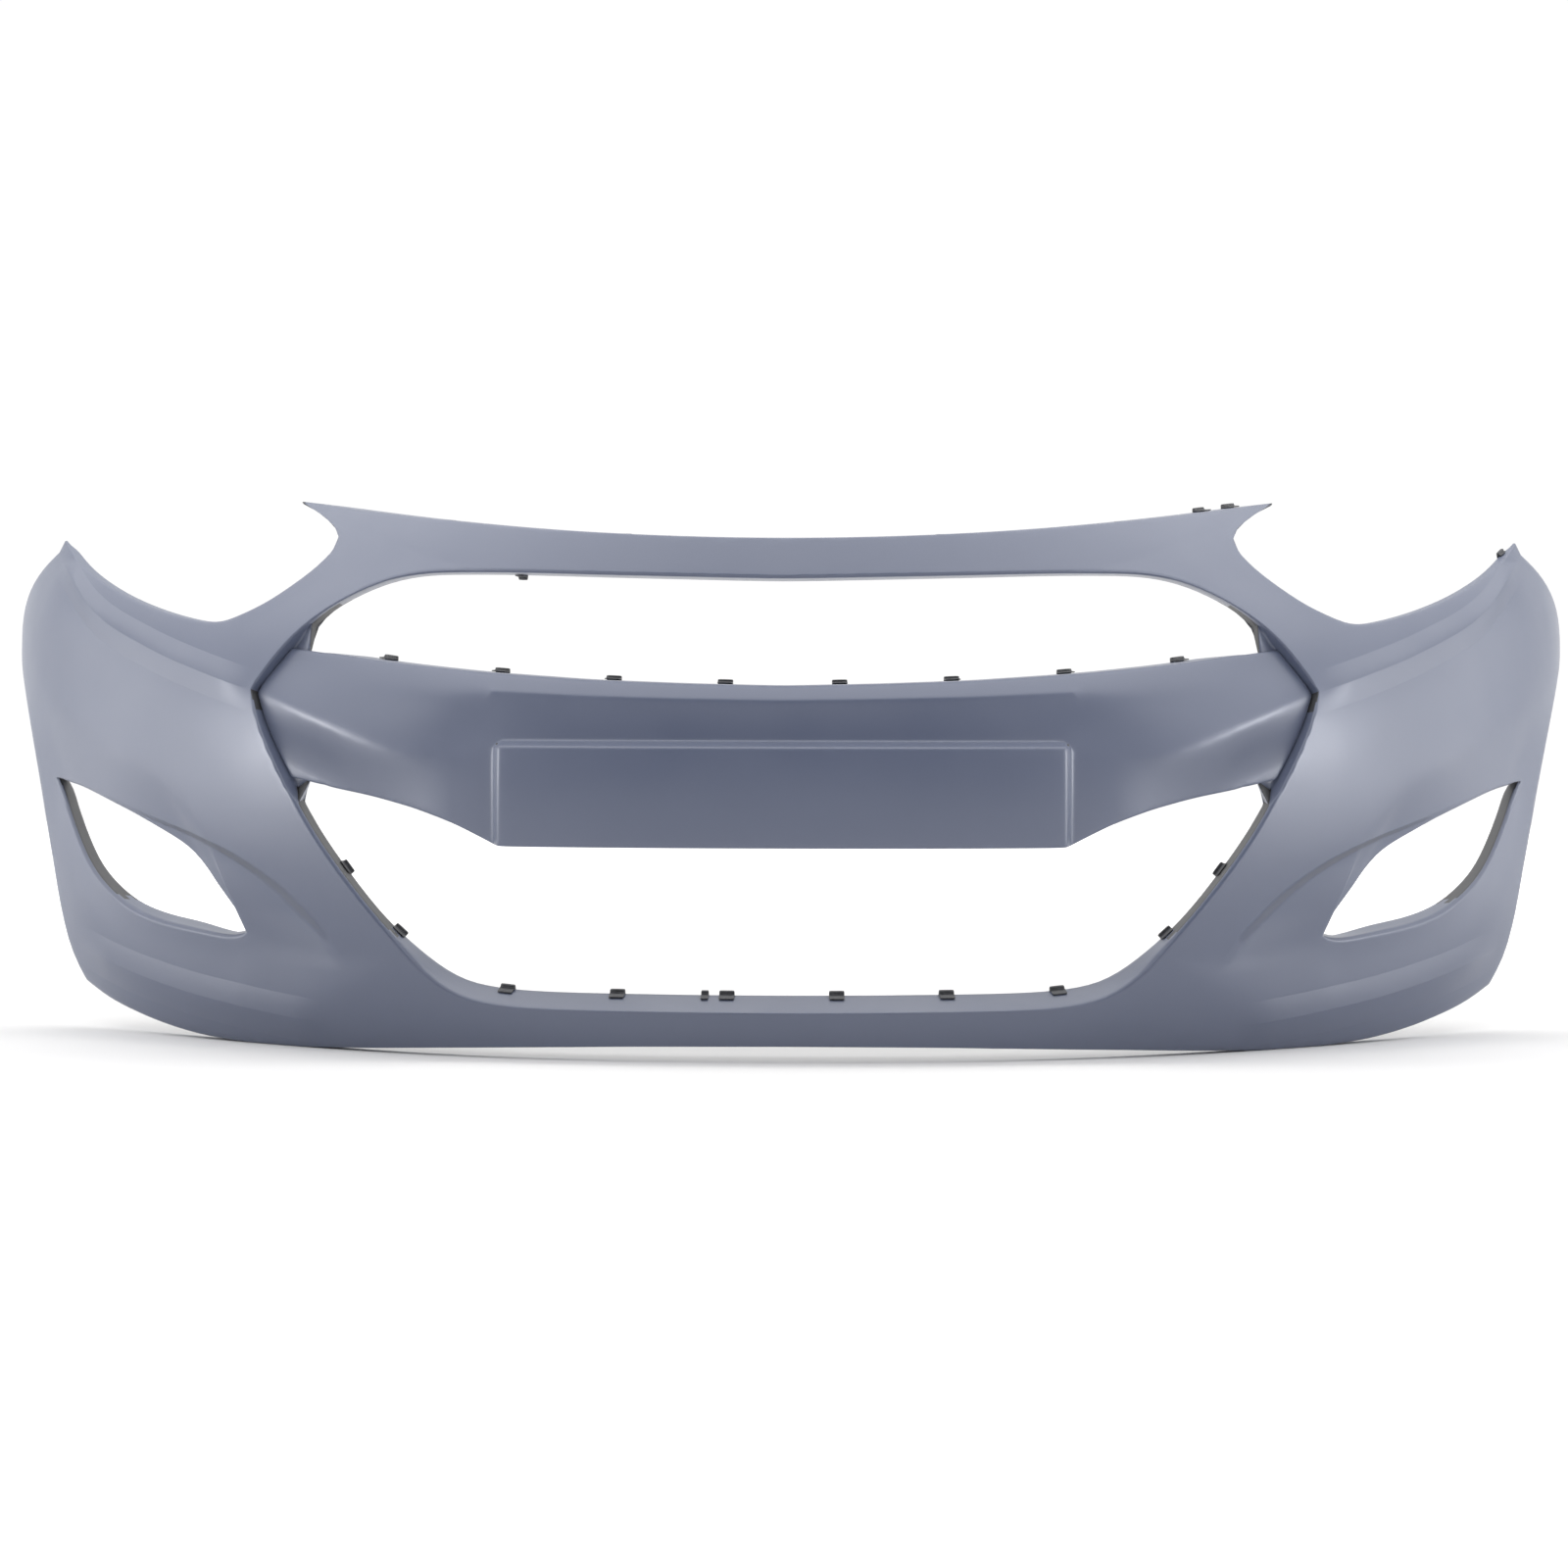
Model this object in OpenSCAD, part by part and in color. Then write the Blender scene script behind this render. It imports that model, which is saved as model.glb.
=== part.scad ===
// Front bumper cover of a small city car, standing on its lower edge.
// Millimetres. +X runs along the width, the front faces -Y and +Z is up.
// The origin is at the middle of the footprint, on the surface it stands on.

/* [Overall] */
// Width over both wings
cover_w = 1580; // [1316:1:1896]
// Height from the bottom corners to the tips of the top rail
cover_h = 517; // [430:1:621]
// Depth of the plan curve, from the plate pad to where the sides run straight back
plan_d = 540; // [450:1:648]
// Thickness of the moulding
wall = 3; // [2.5:0.1:3.6]

/* [Surround and bar] */
// Width of the step between the outer skin and the recessed bar
step_w = 3; // [2.5:0.1:3.6]
// Depth of that step, measured square to the skin
step_depth = 10; // [8:0.5:12]
// Depth of the flanges round the grille openings
grille_flange = 26; // [22:1:31]
// Open line between the bar's ends and the step
shut_gap = 1.2; // [1:0.1:1.5]
// Air between the bar and the ledge it laps over
lap_gap = 0.8; // [0.6:0.1:1]
// Width of the ledge behind each end of the bar
ledge_w = 20; // [17:1:24]

/* [Plate pad] */
// Width of the raised number-plate pad
pad_w = 529; // [520:1:560]
// Height of the pad
pad_h = 98; // [81:1:118]
// How far the pad stands proud of the bar
pad_proud = 10; // [8:0.5:12]
// Width of the bevel along the pad's top and sides
pad_bevel = 7; // [6:0.5:8.5]

/* [Fog-lamp pockets] */
// Depth of the pocket's scooped bowl
scoop_depth = 14; // [12:1:17]
// Depth of the wall round the fog-lamp opening
pocket_wall = 30; // [25:1:36]

/* [Outer flanges] */
// Depth of the flange along the top rail
top_flange = 24; // [22:1:29]
// Width of the flange along the wheel arch
arch_flange = 18; // [16:1:22]
// Depth of the flange under the lower lip
lip_flange = 18; // [16:1:22]

/* [Grille clips] */
// Width of each clip
clip_w = 14; // [12:0.5:17]
// Length of each clip, along the flange
clip_l = 11; // [9:0.5:13]
// Thickness of the clip's sheet
clip_t = 1.4; // [1.2:0.1:1.7]
// Air between a clip's legs and the flange
clip_gap = 0.4; // [0.3:0.1:0.5]

/* [Fixing holes] */
// Diameter of the push-rivet holes in the top flange
rivet_hole_d = 8; // [6.5:0.1:9.5]
// Distance between the two inner top holes
rivet_span = 300; // [250:10:360]
// Diameter of the screw holes in the arch and lip flanges
screw_hole_d = 6; // [5:0.1:7]
// Diameter of the boss round each hole
boss_d = 20; // [18:0.5:24]

/* [Hidden] */

primer = [0.53, 0.56, 0.66];
clip_black = [0.16, 0.16, 0.18];

kx = cover_w / 1580;
kz = cover_h / 517;
ky = plan_d / 540;
front_pow = 0.833;      // how full the plan curve is across the front
side_pow = 1.333;       // how full it is down the sides

// ---- the body surface -------------------------------------------------
// A point on it is named by its station angle a (0 at the middle of the front,
// 90 where the side runs straight back) and its height z.

// half width at height z: tucked in under the wings, drawn in above them
function half_w(z) = let (h = z / kz)
    kx * (790 - 0.0032 * pow(max(h - 385, 0), 2) - 0.00009 * pow(max(385 - h, 0), 2)
        - 0.0010 * pow(max(150 - h, 0), 2));
// how far the front leans back above and below its foremost height
function lean(z) = let (h = z / kz - 240) ky * h * h * (h > 0 ? 0.001526 : 0.00059);
// the lean grows towards the corners and dies out along the sides
function lean_share(a) = cos(a) * (1 + pow(sin(2 * a), 2));
function skin(a, z) = [
    half_w(z) * pow(max(sin(a), 0), front_pow),
    plan_d * (1 - pow(max(cos(a), 0), side_pow)) + lean(z) * lean_share(a),
    z];
// outward unit normal
function normal(a, z) = let (
        b = max(a, 0.5),
        u = a < 0.01 ? [1, 0, 0] : skin(min(b + 0.4, 90), z) - skin(b - 0.4, z),
        v = skin(a, z + 1) - skin(a, z - 1),
        c = cross(u, v))
    c / norm(c);
// point at depth d behind the surface
function sunk(p, d) = skin(p.x, p.y) - d * normal(p.x, p.y);
// stations of a point given by width and height, or by depth and height
function by_x(x, z) = [asin(pow(min(max(x / half_w(z), 0), 1), 1 / front_pow)), z];
function by_y(y, z, n = 4, a = 60) = n == 0 ? [a, z] : let (
        base = y - lean(z) * lean_share(a),
        c = pow(min(max(1 - base / plan_d, 0), 1), 1 / side_pow))
    by_y(y, z, n - 1, acos(c));
function front_pts(list) = [for (p = list) by_x(p.x * kx, p.y * kz)];

// ---- curves -----------------------------------------------------------
function knot(a, b, c, d, t) = 0.5 * (2 * b + (c - a) * t
    + (2 * a - 5 * b + 4 * c - d) * t * t + (3 * b - a - 3 * c + d) * t * t * t);
// smooth curve through the points of p
function smooth(p, n = 8) = let (m = len(p) - 1) concat(
    [for (i = [0:m - 1], k = [0:n - 1]) let (
            before = i == 0 ? 2 * p[0] - p[1] : p[i - 1],
            after = i == m - 1 ? 2 * p[m] - p[m - 1] : p[i + 2])
        knot(before, p[i], p[i + 1], after, k / n)],
    [p[m]]);
// running length of a curve of stations, measured on the surface
function lengths(c, i = 0, s = 0, out = []) = i == len(c) ? out : let (
        step = i == 0 ? 0 : norm(skin(c[i].x, c[i].y) - skin(c[i - 1].x, c[i - 1].y)))
    lengths(c, i + 1, s + step, concat(out, [s + step]));
// n + 1 stations spaced evenly along a curve
function spaced(c, n) = let (
        s = lengths(c),
        ta = [for (i = [0:len(c) - 1]) [s[i], c[i].x]],
        tz = [for (i = [0:len(c) - 1]) [s[i], c[i].y]])
    [for (k = [0:n]) let (d = s[len(s) - 1] * k / n) [lookup(d, ta), lookup(d, tz)]];
// lists joined end to end without repeating the shared point
function joined(a, b) = concat(a, [for (i = [1:len(b) - 1]) b[i]]);
function mix(a, b, t) = a + (b - a) * t;
function ramp(t) = t <= 0 ? 0 : t >= 1 ? 1 : t * t * (3 - 2 * t);
function unit(v) = v / max(norm(v), 1e-9);

// ---- outlines, right half: [width, height] before scaling ---------------
rail_z = 477;
tip = [472, 517];
surround_top = [[0, 442], [150, 445], [290, 448], [360, 441], [420, 414], [462, 380], [495, 335]];
surround_side = [[495, 335], [484, 297], [446, 222], [411, 171], [370, 121], [350, 99]];
surround_bottom = [[350, 99], [325, 74], [295, 56], [240, 48], [120, 46.5], [0, 46]];
rail_top = [for (x = [0:tip.x / 8:tip.x]) [x, rail_z + (tip.y - rail_z) * pow(x / tip.x, 2)]];
lamp_inner = [tip, [446, 502], [428, 487], [427, 471], [446, 449], [490, 418], [530, 400.5]];
lamp_outer = [[530, 400.5], [552, 399.5], [594, 408], [640, 423], [682, 443], [714, 465], [732, 482]];
crease = [[495, 335], [550, 352], [612, 375], [672, 405], [712, 443], [737, 470]];
fog_tip = [513, 103];
fog_corner = [728, 246];
fog_upper = [fog_tip, [517, 117], [543, 152], [569, 184], [612, 207], [646, 222], [695, 240], fog_corner];
fog_lower = [fog_tip, [520, 97.5], [536, 97], [572, 102], [612, 109], [648, 123], [686, 156], [710, 200], fog_corner];
under_fog = [[350, 99], [400, 90], [455, 90], fog_tip];
lip_edge = [[0, 15], [150, 13.5], [300, 8], [390, 3], [450, 0]];
wing_edge = [[450, 0], [515, 0.5], [560, 4], [603, 12], [645, 24]];

// wheel arch: a circle in side view, which the rear edge follows
arch_y = 702;
arch_z = 90;
arch_r = 330;
arch_turn = 2.0;        // degrees by which the lower rear corner is rounded off
function arch(z) = by_y((arch_y - sqrt(pow(arch_r, 2) - pow(z - arch_z, 2))) * ky, z * kz)
    - [arch_turn * pow(max(80 - z, 0) / 34, 2), 0];
seam_low = 375;         // height at which the fender joint meets the arch
split_z = 250;          // height at which the rows above and below the fog lamp part
foot_z = 46;            // height of the lower rear corner
fender_joint = [for (t = [0:0.2:1]) mix(front_pts([[737, 470]])[0], arch(seam_low), t)
    + [2.2, 3] * sin(180 * t)];

// columns and rows
n_rail = 12;
n_lamp = 12;
n_lead = 6;             // columns from the surround to the fog lamp
n_fog = 18;             // columns along the fog lamp
n_tail = 2;             // columns behind it
n_wing = n_lead + n_fog + n_tail;
n_lip = 16;
rows_top = 5;
rows_side = 14;
rows_low = 7;

top_inner = let (
        c = smooth(front_pts(surround_top)),
        s = lengths(c),
        at_tip = [for (i = [0:len(c) - 1]) if (skin(c[i].x, c[i].y).x <= 300 * kx) c[i]],
        rest = [for (i = [len(at_tip) - 1:len(c) - 1]) c[i]])
    joined(spaced(at_tip, n_rail), spaced(rest, n_lamp));
top_outer = joined(spaced(smooth(front_pts(rail_top)), n_rail),
    spaced(smooth(front_pts(lamp_inner)), n_lamp));
side_inner = spaced(smooth(front_pts(surround_side)), rows_side);
bottom_inner = spaced(smooth(front_pts([for (i = [len(surround_bottom) - 1:-1:0])
    surround_bottom[i]])), n_lip);
crease_line = spaced(smooth(front_pts(crease)), n_wing);
lamp_line = spaced(smooth(front_pts(lamp_outer)), n_wing);
lead_line = spaced(smooth(front_pts(under_fog)), n_lead);
tail_line = [for (t = [0:n_tail]) mix(front_pts([fog_corner])[0], arch(split_z), t / n_tail)];
row_above = joined(joined(lead_line, spaced(smooth(front_pts(fog_upper)), n_fog)), tail_line);
row_below = joined(joined(lead_line, spaced(smooth(front_pts(fog_lower)), n_fog)), tail_line);
rear_upper = spaced(joined(fender_joint, [for (k = [0:12]) arch(mix(seam_low, split_z, k / 12))]),
    rows_side);
rear_lower = spaced([for (k = [0:12]) arch(mix(split_z, foot_z, k / 12))], rows_low);
lip_line = spaced(smooth(front_pts(lip_edge)), n_lip);
wing_line = let (c = smooth(front_pts(wing_edge)), n = len(c) - 1, last = arch(foot_z))
    spaced(concat(c, [mix(c[n], last, 0.35) - [0, 1.5], mix(c[n], last, 0.7) - [0, 1], last]), n_wing);

// grid of stations between four edges: top and bottom run left to right,
// left and right run downwards
// (pull: how quickly the bow of the side edges fades towards the middle)
function coons(top, bottom, left, right, pull = 1) = let (n = len(top) - 1, m = len(left) - 1)
    [for (j = [0:m]) [for (i = [0:n]) let (
            u = i / n,
            v = j / m,
            bow_left = left[j] - mix(left[0], left[m], v),
            bow_right = right[j] - mix(right[0], right[m], v))
        mix(top[i], bottom[i], v) + pow(1 - u, pull) * bow_left + pow(u, pull) * bow_right]];
function straight(a, b, m) = [for (j = [0:m]) mix(a, b, j / m)];

// the top strip runs from its outer edge (row 0) down to its inner edge
strip_out = joined(top_outer, lamp_line);
strip_in = joined(top_inner, crease_line);
top_grid = [for (j = [0:rows_top]) [for (i = [0:len(strip_in) - 1])
    mix(strip_out[i], strip_in[i], j / rows_top)]];
side_grid = coons(crease_line, row_above, side_inner, rear_upper, 3);
lip_foot = straight(bottom_inner[n_lip], lip_line[n_lip], rows_low);
lip_grid = coons(bottom_inner, lip_line,
    straight(bottom_inner[0], lip_line[0], rows_low), lip_foot);
low_grid = coons(row_below, wing_line, lip_foot, rear_lower);

// ---- relief: how far each grid point lies behind the body surface --------
crease_rise = 5;
scoop_rows = 5;         // rows over which the bowl falls away from its brow
function crease_relief(v) = -crease_rise * max(1 - v, 0);
function scoop_along(i) = ramp(i / n_lead) * (1 - 0.55 * ramp((i - n_lead) / n_fog));
function top_relief(i, j) = let (at = i - n_rail - n_lamp)
    at < 0 ? crease_relief((rows_top - j) / rows_top + min(-at / n_lamp, 1))
        : crease_relief((rows_top - j) / rows_top + ramp((at / n_wing - 0.8) / 0.2));
function side_relief(i, j) = let (down = j / rows_side)
    crease_relief(down * 3 + ramp((i / n_wing - 0.8) / 0.2))
    + scoop_depth * scoop_along(i) * max(0, (j - rows_side + scoop_rows) / scoop_rows)
        * (i > n_wing - n_tail - 1 ? (n_wing - i) / (n_tail + 1) : 1);
function low_relief(i, j) = let (down = j / rows_low)
    scoop_depth * scoop_along(i) * (1 - ramp(down / 0.75))
        * (i > n_wing - n_tail - 1 ? (n_wing - i) / (n_tail + 1) : 1);

// ---- skins ---------------------------------------------------------------
top_fall = [for (j = [0:rows_top]) [for (i = [0:len(strip_in) - 1]) top_relief(i, j)]];
side_fall = [for (j = [0:rows_side]) [for (i = [0:n_wing]) side_relief(i, j)]];
low_fall = [for (j = [0:rows_low]) [for (i = [0:n_wing]) low_relief(i, j)]];
lip_fall = [for (j = [0:rows_low]) [for (i = [0:n_lip]) 0]];
function shifted(grid, fall, d) = [for (j = [0:len(grid) - 1]) [for (i = [0:len(grid[0]) - 1])
    sunk(grid[j][i], fall[j][i] + d)]];
top_skin = shifted(top_grid, top_fall, 0);
side_skin = shifted(side_grid, side_fall, 0);
low_skin = shifted(low_grid, low_fall, 0);
lip_skin = shifted(lip_grid, lip_fall, 0);

// ---- edges: each turns back into a flange ----------------------------------
// A run of edge points P, with the point next to each one inside the skin,
// gives "into", the direction that points from the edge into the skin.
function column(grid, i) = [for (row = grid) row[i]];
function flipped(list) = [for (i = [len(list) - 1:-1:0]) list[i]];
function flat_x(v, p) = abs(p.x) < 0.001 ? [0, v.y, v.z] : v;
function tangent(run, i) = flat_x(unit(run[min(i + 1, len(run) - 1)] - run[max(i - 1, 0)]),
    run[i].x == 0 ? [1, 0, 0] : run[i]);
function square_to(v, t) = unit(v - (v * t) * t);
function into(run, next) = [for (i = [0:len(run) - 1])
    flat_x(square_to(next[i] - run[i], tangent(run, i)), run[i])];
function normals(stations) = [for (p = stations) flat_x(normal(p.x, p.y), [p.x, 0, 0])];
// level direction that leads behind the skin
function behind(n) = unit([-n.x, -n.y, 0]);

// outer edge, from the middle of the top rail round the wing to the middle of the lip
at_tip = n_rail;
at_lamp = n_rail + n_lamp;
at_wing = at_lamp + n_wing;
at_joint = at_wing + rows_top;
at_split = at_joint + rows_side;
at_foot = at_split + rows_low;
at_lip = at_foot + n_wing;
at_end = at_lip + n_lip;
function around(top, side, low, lip) = joined(joined(joined(joined(joined(
    top[0], column(top, at_wing)), column(side, n_wing)), column(low, n_wing)),
    flipped(low[rows_low])), flipped(lip[rows_low]));
function one_in(top, side, low, lip) = joined(joined(joined(joined(joined(
    top[1], column(top, at_wing - 1)), column(side, n_wing - 1)), column(low, n_wing - 1)),
    flipped(low[rows_low - 1])), flipped(lip[rows_low - 1]));
rim = around(top_skin, side_skin, low_skin, lip_skin);
rim_n = normals(around(top_grid, side_grid, low_grid, lip_grid));
rim_in = into(rim, one_in(top_skin, side_skin, low_skin, lip_skin));
// the edge is pinched where it doubles back at the two pointed tips
function pinch(i, at) = let (k = abs(i - at), a = max(at - k, 0), b = min(at + k, at_end))
    min(1, norm(rim[a] - rim[b]) / (9 * wall));
rim_pinch = [for (i = [0:at_end]) min(pinch(i, at_tip), abs(i - at_wing) < 8 ? max(0.25, pinch(i, at_wing)) : 1)];
lamp_flange = 9;
joint_flange = 7;
function rim_depth(i) =
    i <= at_tip ? top_flange :
    i <= at_wing ? lamp_flange :
    i <= at_joint ? mix(lamp_flange, joint_flange, (i - at_wing) / rows_top) :
    i <= at_split ? mix(joint_flange, arch_flange, ramp((i - at_joint) / rows_side * 2 - 0.6)) :
    i <= at_foot ? arch_flange :
    mix(arch_flange, lip_flange, min((i - at_foot) / n_wing, 1));
rim_lip = [for (i = [0:at_end]) rim[i] + behind(rim_n[i]) * rim_depth(i) * rim_pinch[i]];
rim_back = [for (i = [0:at_end]) rim_lip[i] + rim_in[i] * wall * rim_pinch[i]];
rim_mitre = [for (i = [0:at_end]) rim[i] - rim_n[i] * wall + rim_in[i] * wall * rim_pinch[i]];

// surround, from the middle of the rail round to the middle of the lip
at_corner = at_lamp;
at_under = at_corner + rows_side;
at_sill = at_under + n_lip;
function hexagon(top, side, lip, k) = joined(joined(
    [for (i = [0:at_corner]) top[rows_top - k][i]],
    column(side, k)), flipped(lip[k]));
sur = hexagon(top_skin, side_skin, lip_skin, 0);
sur_st = hexagon(top_grid, side_grid, lip_grid, 0);
sur_fall = hexagon(top_fall, side_fall, lip_fall, 0);
sur_n = normals(sur_st);
sur_in = into(sur, hexagon(top_skin, side_skin, lip_skin, 1));
bar_low_z = 257 * kz;
bar_high_z = 377 * kz;
// 1 where the bar lies against the surround, 0 along the openings
function by_bar(z) = ramp((z - bar_low_z + 22) / 10) * ramp((bar_high_z + 27 - z) / 12);
function at_sill_level(z) = ramp((130 * kz - z) / (80 * kz));
function step_at(z) = step_w * (1 - 0.5 * max(at_sill_level(z), ramp((z - 400 * kz) / (40 * kz))));
// station a given distance from the edge towards the openings
function towards(p, e, d) = by_x(max(p.x - e.x * d, 0), p.z - e.z * d);
lap_depth = step_depth + wall + lap_gap;
step_foot = [for (i = [0:at_sill]) let (z = sur[i].z)
    flat_x(sunk(towards(sur[i], sur_in[i], step_at(z)),
        sur_fall[i] + mix(step_depth * (0.25 + 0.45 * at_sill_level(z)), lap_depth, by_bar(z))), sur[i])];
step_tip = [for (i = [0:at_sill]) let (z = sur[i].z, e = sur_in[i], b = by_bar(z))
    flat_x(mix(step_foot[i] + [0, grille_flange, 0] - [e.x, 0, e.z] * (3 + 8 * at_sill_level(z)),
        sunk(towards(sur[i], e, step_w + ledge_w), sur_fall[i] + lap_depth), b), sur[i])];
step_tip_back = [for (i = [0:at_sill])
    step_tip[i] + wall * mix(sur_in[i], -sur_n[i], by_bar(sur[i].z))];
step_foot_back = [for (i = [0:at_sill])
    step_foot[i] + wall * (sur_in[i] - by_bar(sur[i].z) * sur_n[i])];
sur_mitre = [for (i = [0:at_sill]) sur[i] + wall * (sur_in[i] - sur_n[i])];

// fog-lamp opening, a closed run: along its upper edge and back along the lower one
fog_end = n_lead + n_fog;
function ring(upper, lower) = concat([for (i = [n_lead:fog_end]) upper[i]],
    [for (i = [fog_end - 1:-1:n_lead + 1]) lower[i]]);
fog = ring(side_skin[rows_side], low_skin[0]);
fog_n = normals(ring(side_grid[rows_side], low_grid[0]));
fog_next = ring(side_skin[rows_side - 1], low_skin[1]);
n_ring = len(fog);
function fog_into(i) =
    i == 0 ? unit(side_skin[rows_side][n_lead - 1] - fog[0]) :
    i == n_fog ? unit(side_skin[rows_side][fog_end + 1] - fog[i]) :
    square_to(fog_next[i] - fog[i], unit(fog[(i + 1) % n_ring] - fog[i - 1]));
fog_in = [for (i = [0:n_ring - 1]) fog_into(i)];
fog_round = 2.5;
function fog_inset(i) = i >= n_fog ? 5 * ramp(min(i - n_fog + 2, n_ring - i) / 4) : 1.5;
fog_turn = [for (i = [0:n_ring - 1]) fog[i] - fog_round * (fog_in[i] + fog_n[i])];
fog_tip_run = [for (i = [0:n_ring - 1]) fog_turn[i] + [0, pocket_wall, 0]
    - [fog_in[i].x, 0, fog_in[i].z] * fog_inset(i)];
fog_back = [for (i = [0:n_ring - 1]) fog_tip_run[i] + [fog_in[i].x, 0, fog_in[i].z] * wall];
fog_mitre = [for (i = [0:n_ring - 1]) fog[i] + wall * (fog_in[i] - fog_n[i])];

// inner skins, one wall behind, with the mitred corners along every edge
function inner_top(j, i) =
    j == 0 ? rim_mitre[i] :
    i == at_wing ? rim_mitre[at_wing + j] :
    j == rows_top && i <= at_corner ? sur_mitre[i] :
    sunk(top_grid[j][i], top_fall[j][i] + wall);
function inner_side(j, i) =
    i == 0 ? sur_mitre[at_corner + j] :
    i == n_wing ? rim_mitre[at_joint + j] :
    j == 0 ? inner_top(rows_top, at_corner + i) :
    j == rows_side && i >= n_lead && i <= fog_end ? fog_mitre[i - n_lead] :
    sunk(side_grid[j][i], side_fall[j][i] + wall);
function inner_low(j, i) =
    j == rows_low ? rim_mitre[at_foot + n_wing - i] :
    i == n_wing ? rim_mitre[at_split + j] :
    j == 0 && i > n_lead && i < fog_end ? fog_mitre[n_ring - (i - n_lead)] :
    j == 0 ? inner_side(rows_side, i) :
    sunk(low_grid[j][i], low_fall[j][i] + wall);
function inner_lip(j, i) =
    j == rows_low ? rim_mitre[at_lip + n_lip - i] :
    j == 0 ? sur_mitre[at_under + n_lip - i] :
    i == n_lip ? inner_low(j, 0) :
    sunk(lip_grid[j][i], lip_fall[j][i] + wall);
function table(rows, cols) = [for (j = [0:rows]) [for (i = [0:cols]) [j, i]]];
top_inside = [for (r = table(rows_top, at_wing)) [for (c = r) inner_top(c[0], c[1])]];
side_inside = [for (r = table(rows_side, n_wing)) [for (c = r) inner_side(c[0], c[1])]];
low_inside = [for (r = table(rows_low, n_wing)) [for (c = r) inner_low(c[0], c[1])]];
lip_inside = [for (r = table(rows_low, n_lip)) [for (c = r) inner_lip(c[0], c[1])]];

// ---- faces -----------------------------------------------------------------
// Quads run clockwise as seen from outside the material.
function sheet(g) = [for (j = [0:len(g) - 2], i = [0:len(g[0]) - 2])
    [g[j][i], g[j][i + 1], g[j + 1][i + 1], g[j + 1][i]]];
function turned(quads) = [for (q = quads) [q[3], q[2], q[1], q[0]]];
function strip(a, b) = sheet([a, b]);
function closed(run) = concat(run, [run[0]]);
function flange(runs) = [for (k = [0:len(runs) - 2]) each strip(runs[k], runs[k + 1])];
half_shell = concat(
    sheet(top_skin), sheet(side_skin), sheet(low_skin), sheet(lip_skin),
    turned(concat(sheet(top_inside), sheet(side_inside), sheet(low_inside), sheet(lip_inside))),
    turned(flange([rim, rim_lip, rim_back, rim_mitre])),
    flange([sur, step_foot, step_tip, step_tip_back, step_foot_back, sur_mitre]),
    flange([closed(fog), closed(fog_turn), closed(fog_tip_run), closed(fog_back), closed(fog_mitre)]));

function snap(p) = [round(p.x * 10000) / 10000, round(p.y * 10000) / 10000, round(p.z * 10000) / 10000];
function area(t) = norm(cross(t[1] - t[0], t[2] - t[0]));
function triangles(quads) = [for (q = quads) let (p = [for (v = q) snap(v)])
    each [for (t = [[p[0], p[1], p[2]], [p[0], p[2], p[3]]]) if (area(t) > 0.0005) t]];
function mirrored(tris) = [for (t = tris) [for (k = [2:-1:0]) [-t[k].x, t[k].y, t[k].z]]];
// a closed solid from the faces of its right half
module both_halves(quads) {
    right = triangles(quads);
    all = concat(right, mirrored(right));
    polyhedron([for (t = all) each t], [for (i = [0:len(all) - 1]) [3 * i, 3 * i + 1, 3 * i + 2]],
        convexity = 12);
}

// ---- centre bar --------------------------------------------------------------
// Right half of its face: columns run outwards from the middle, rows downwards.
n_pad = 10;             // columns across half of the plate pad
n_arm = 13;             // columns from the pad to the surround
row_char = 5;           // row along the top of the pad, which carries the crease
row_base = 11;
bar_cols = n_pad + 1 + n_arm;
pad_x = pad_w / 2;
pad_top = 294 * kz;
pad_low = pad_top - pad_h;
bar_end = [for (i = [at_corner - 6:at_under - 1]) let (e = sur_in[i])
    [sur[i].z - e.z * (step_w + shut_gap), sur[i].x - e.x * (step_w + shut_gap)]];
bar_end_fall = [for (i = [at_corner - 6:at_under - 1]) [sur[i].z, sur_fall[i]]];
// curves across the bar, as height at each width
function profile(points) = [for (p = points) [p.x * kx, p.y * kz]];
bar_top = profile([[0, 346.5], [90, 348.5], [178, 352], [270, 358.5], [363, 366.5], [424, 373.5], [460, 378]]);
bar_char = concat([[0, pad_top], [pad_x, pad_top]],
    [for (p = [[318, 280], [359, 283], [429, 309], [488, 334]]) [p.x * kx, p.y * kz]]);
bar_low = concat([[0, pad_low], [pad_x - pad_bevel, pad_low], [pad_x, pad_low + 1]],
    [for (p = [[303, 216], [340, 229], [378, 239], [415, 246], [457, 256]]) [p.x * kx, p.y * kz]]);
bar_ends = [bar_top[6].y, 334 * kz, 256 * kz];
function rows_share(j) =
    j <= row_char ? [0, 0.09, 0.31, 0.55, 0.8, 1][j] :
    (j - row_char) / (row_base - row_char);
function end_z(j) = j <= row_char ? mix(bar_ends[0], bar_ends[1], rows_share(j))
    : mix(bar_ends[1], bar_ends[2], rows_share(j));
function bar_x(i, j) =
    i <= n_pad ? (pad_x - pad_bevel) * i / n_pad :
    mix(pad_x, lookup(end_z(j), bar_end), (i - n_pad - 1) / n_arm);
function bar_z(i, j) = let (x = bar_x(i, j)) i == bar_cols ? end_z(j) :
    j <= row_char ? mix(lookup(x, bar_top), lookup(x, bar_char), rows_share(j)) :
    let (bevel = j == row_char + 1 ? pad_bevel / (pad_top - pad_low)
            : pad_bevel / (pad_top - pad_low) + (1 - pad_bevel / (pad_top - pad_low))
                * (j - row_char - 1) / (row_base - row_char - 1),
        share = mix(bevel, rows_share(j), max((i - n_pad - 1) / n_arm, 0)))
    mix(lookup(x, bar_char), lookup(x, bar_low), share);
bar_grid = [for (j = [0:row_base]) [for (i = [0:bar_cols]) by_x(bar_x(i, j), bar_z(i, j))]];
shoulder = [13.5, 9.7, 5, 8.5, 10.5, 10.5];
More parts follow.
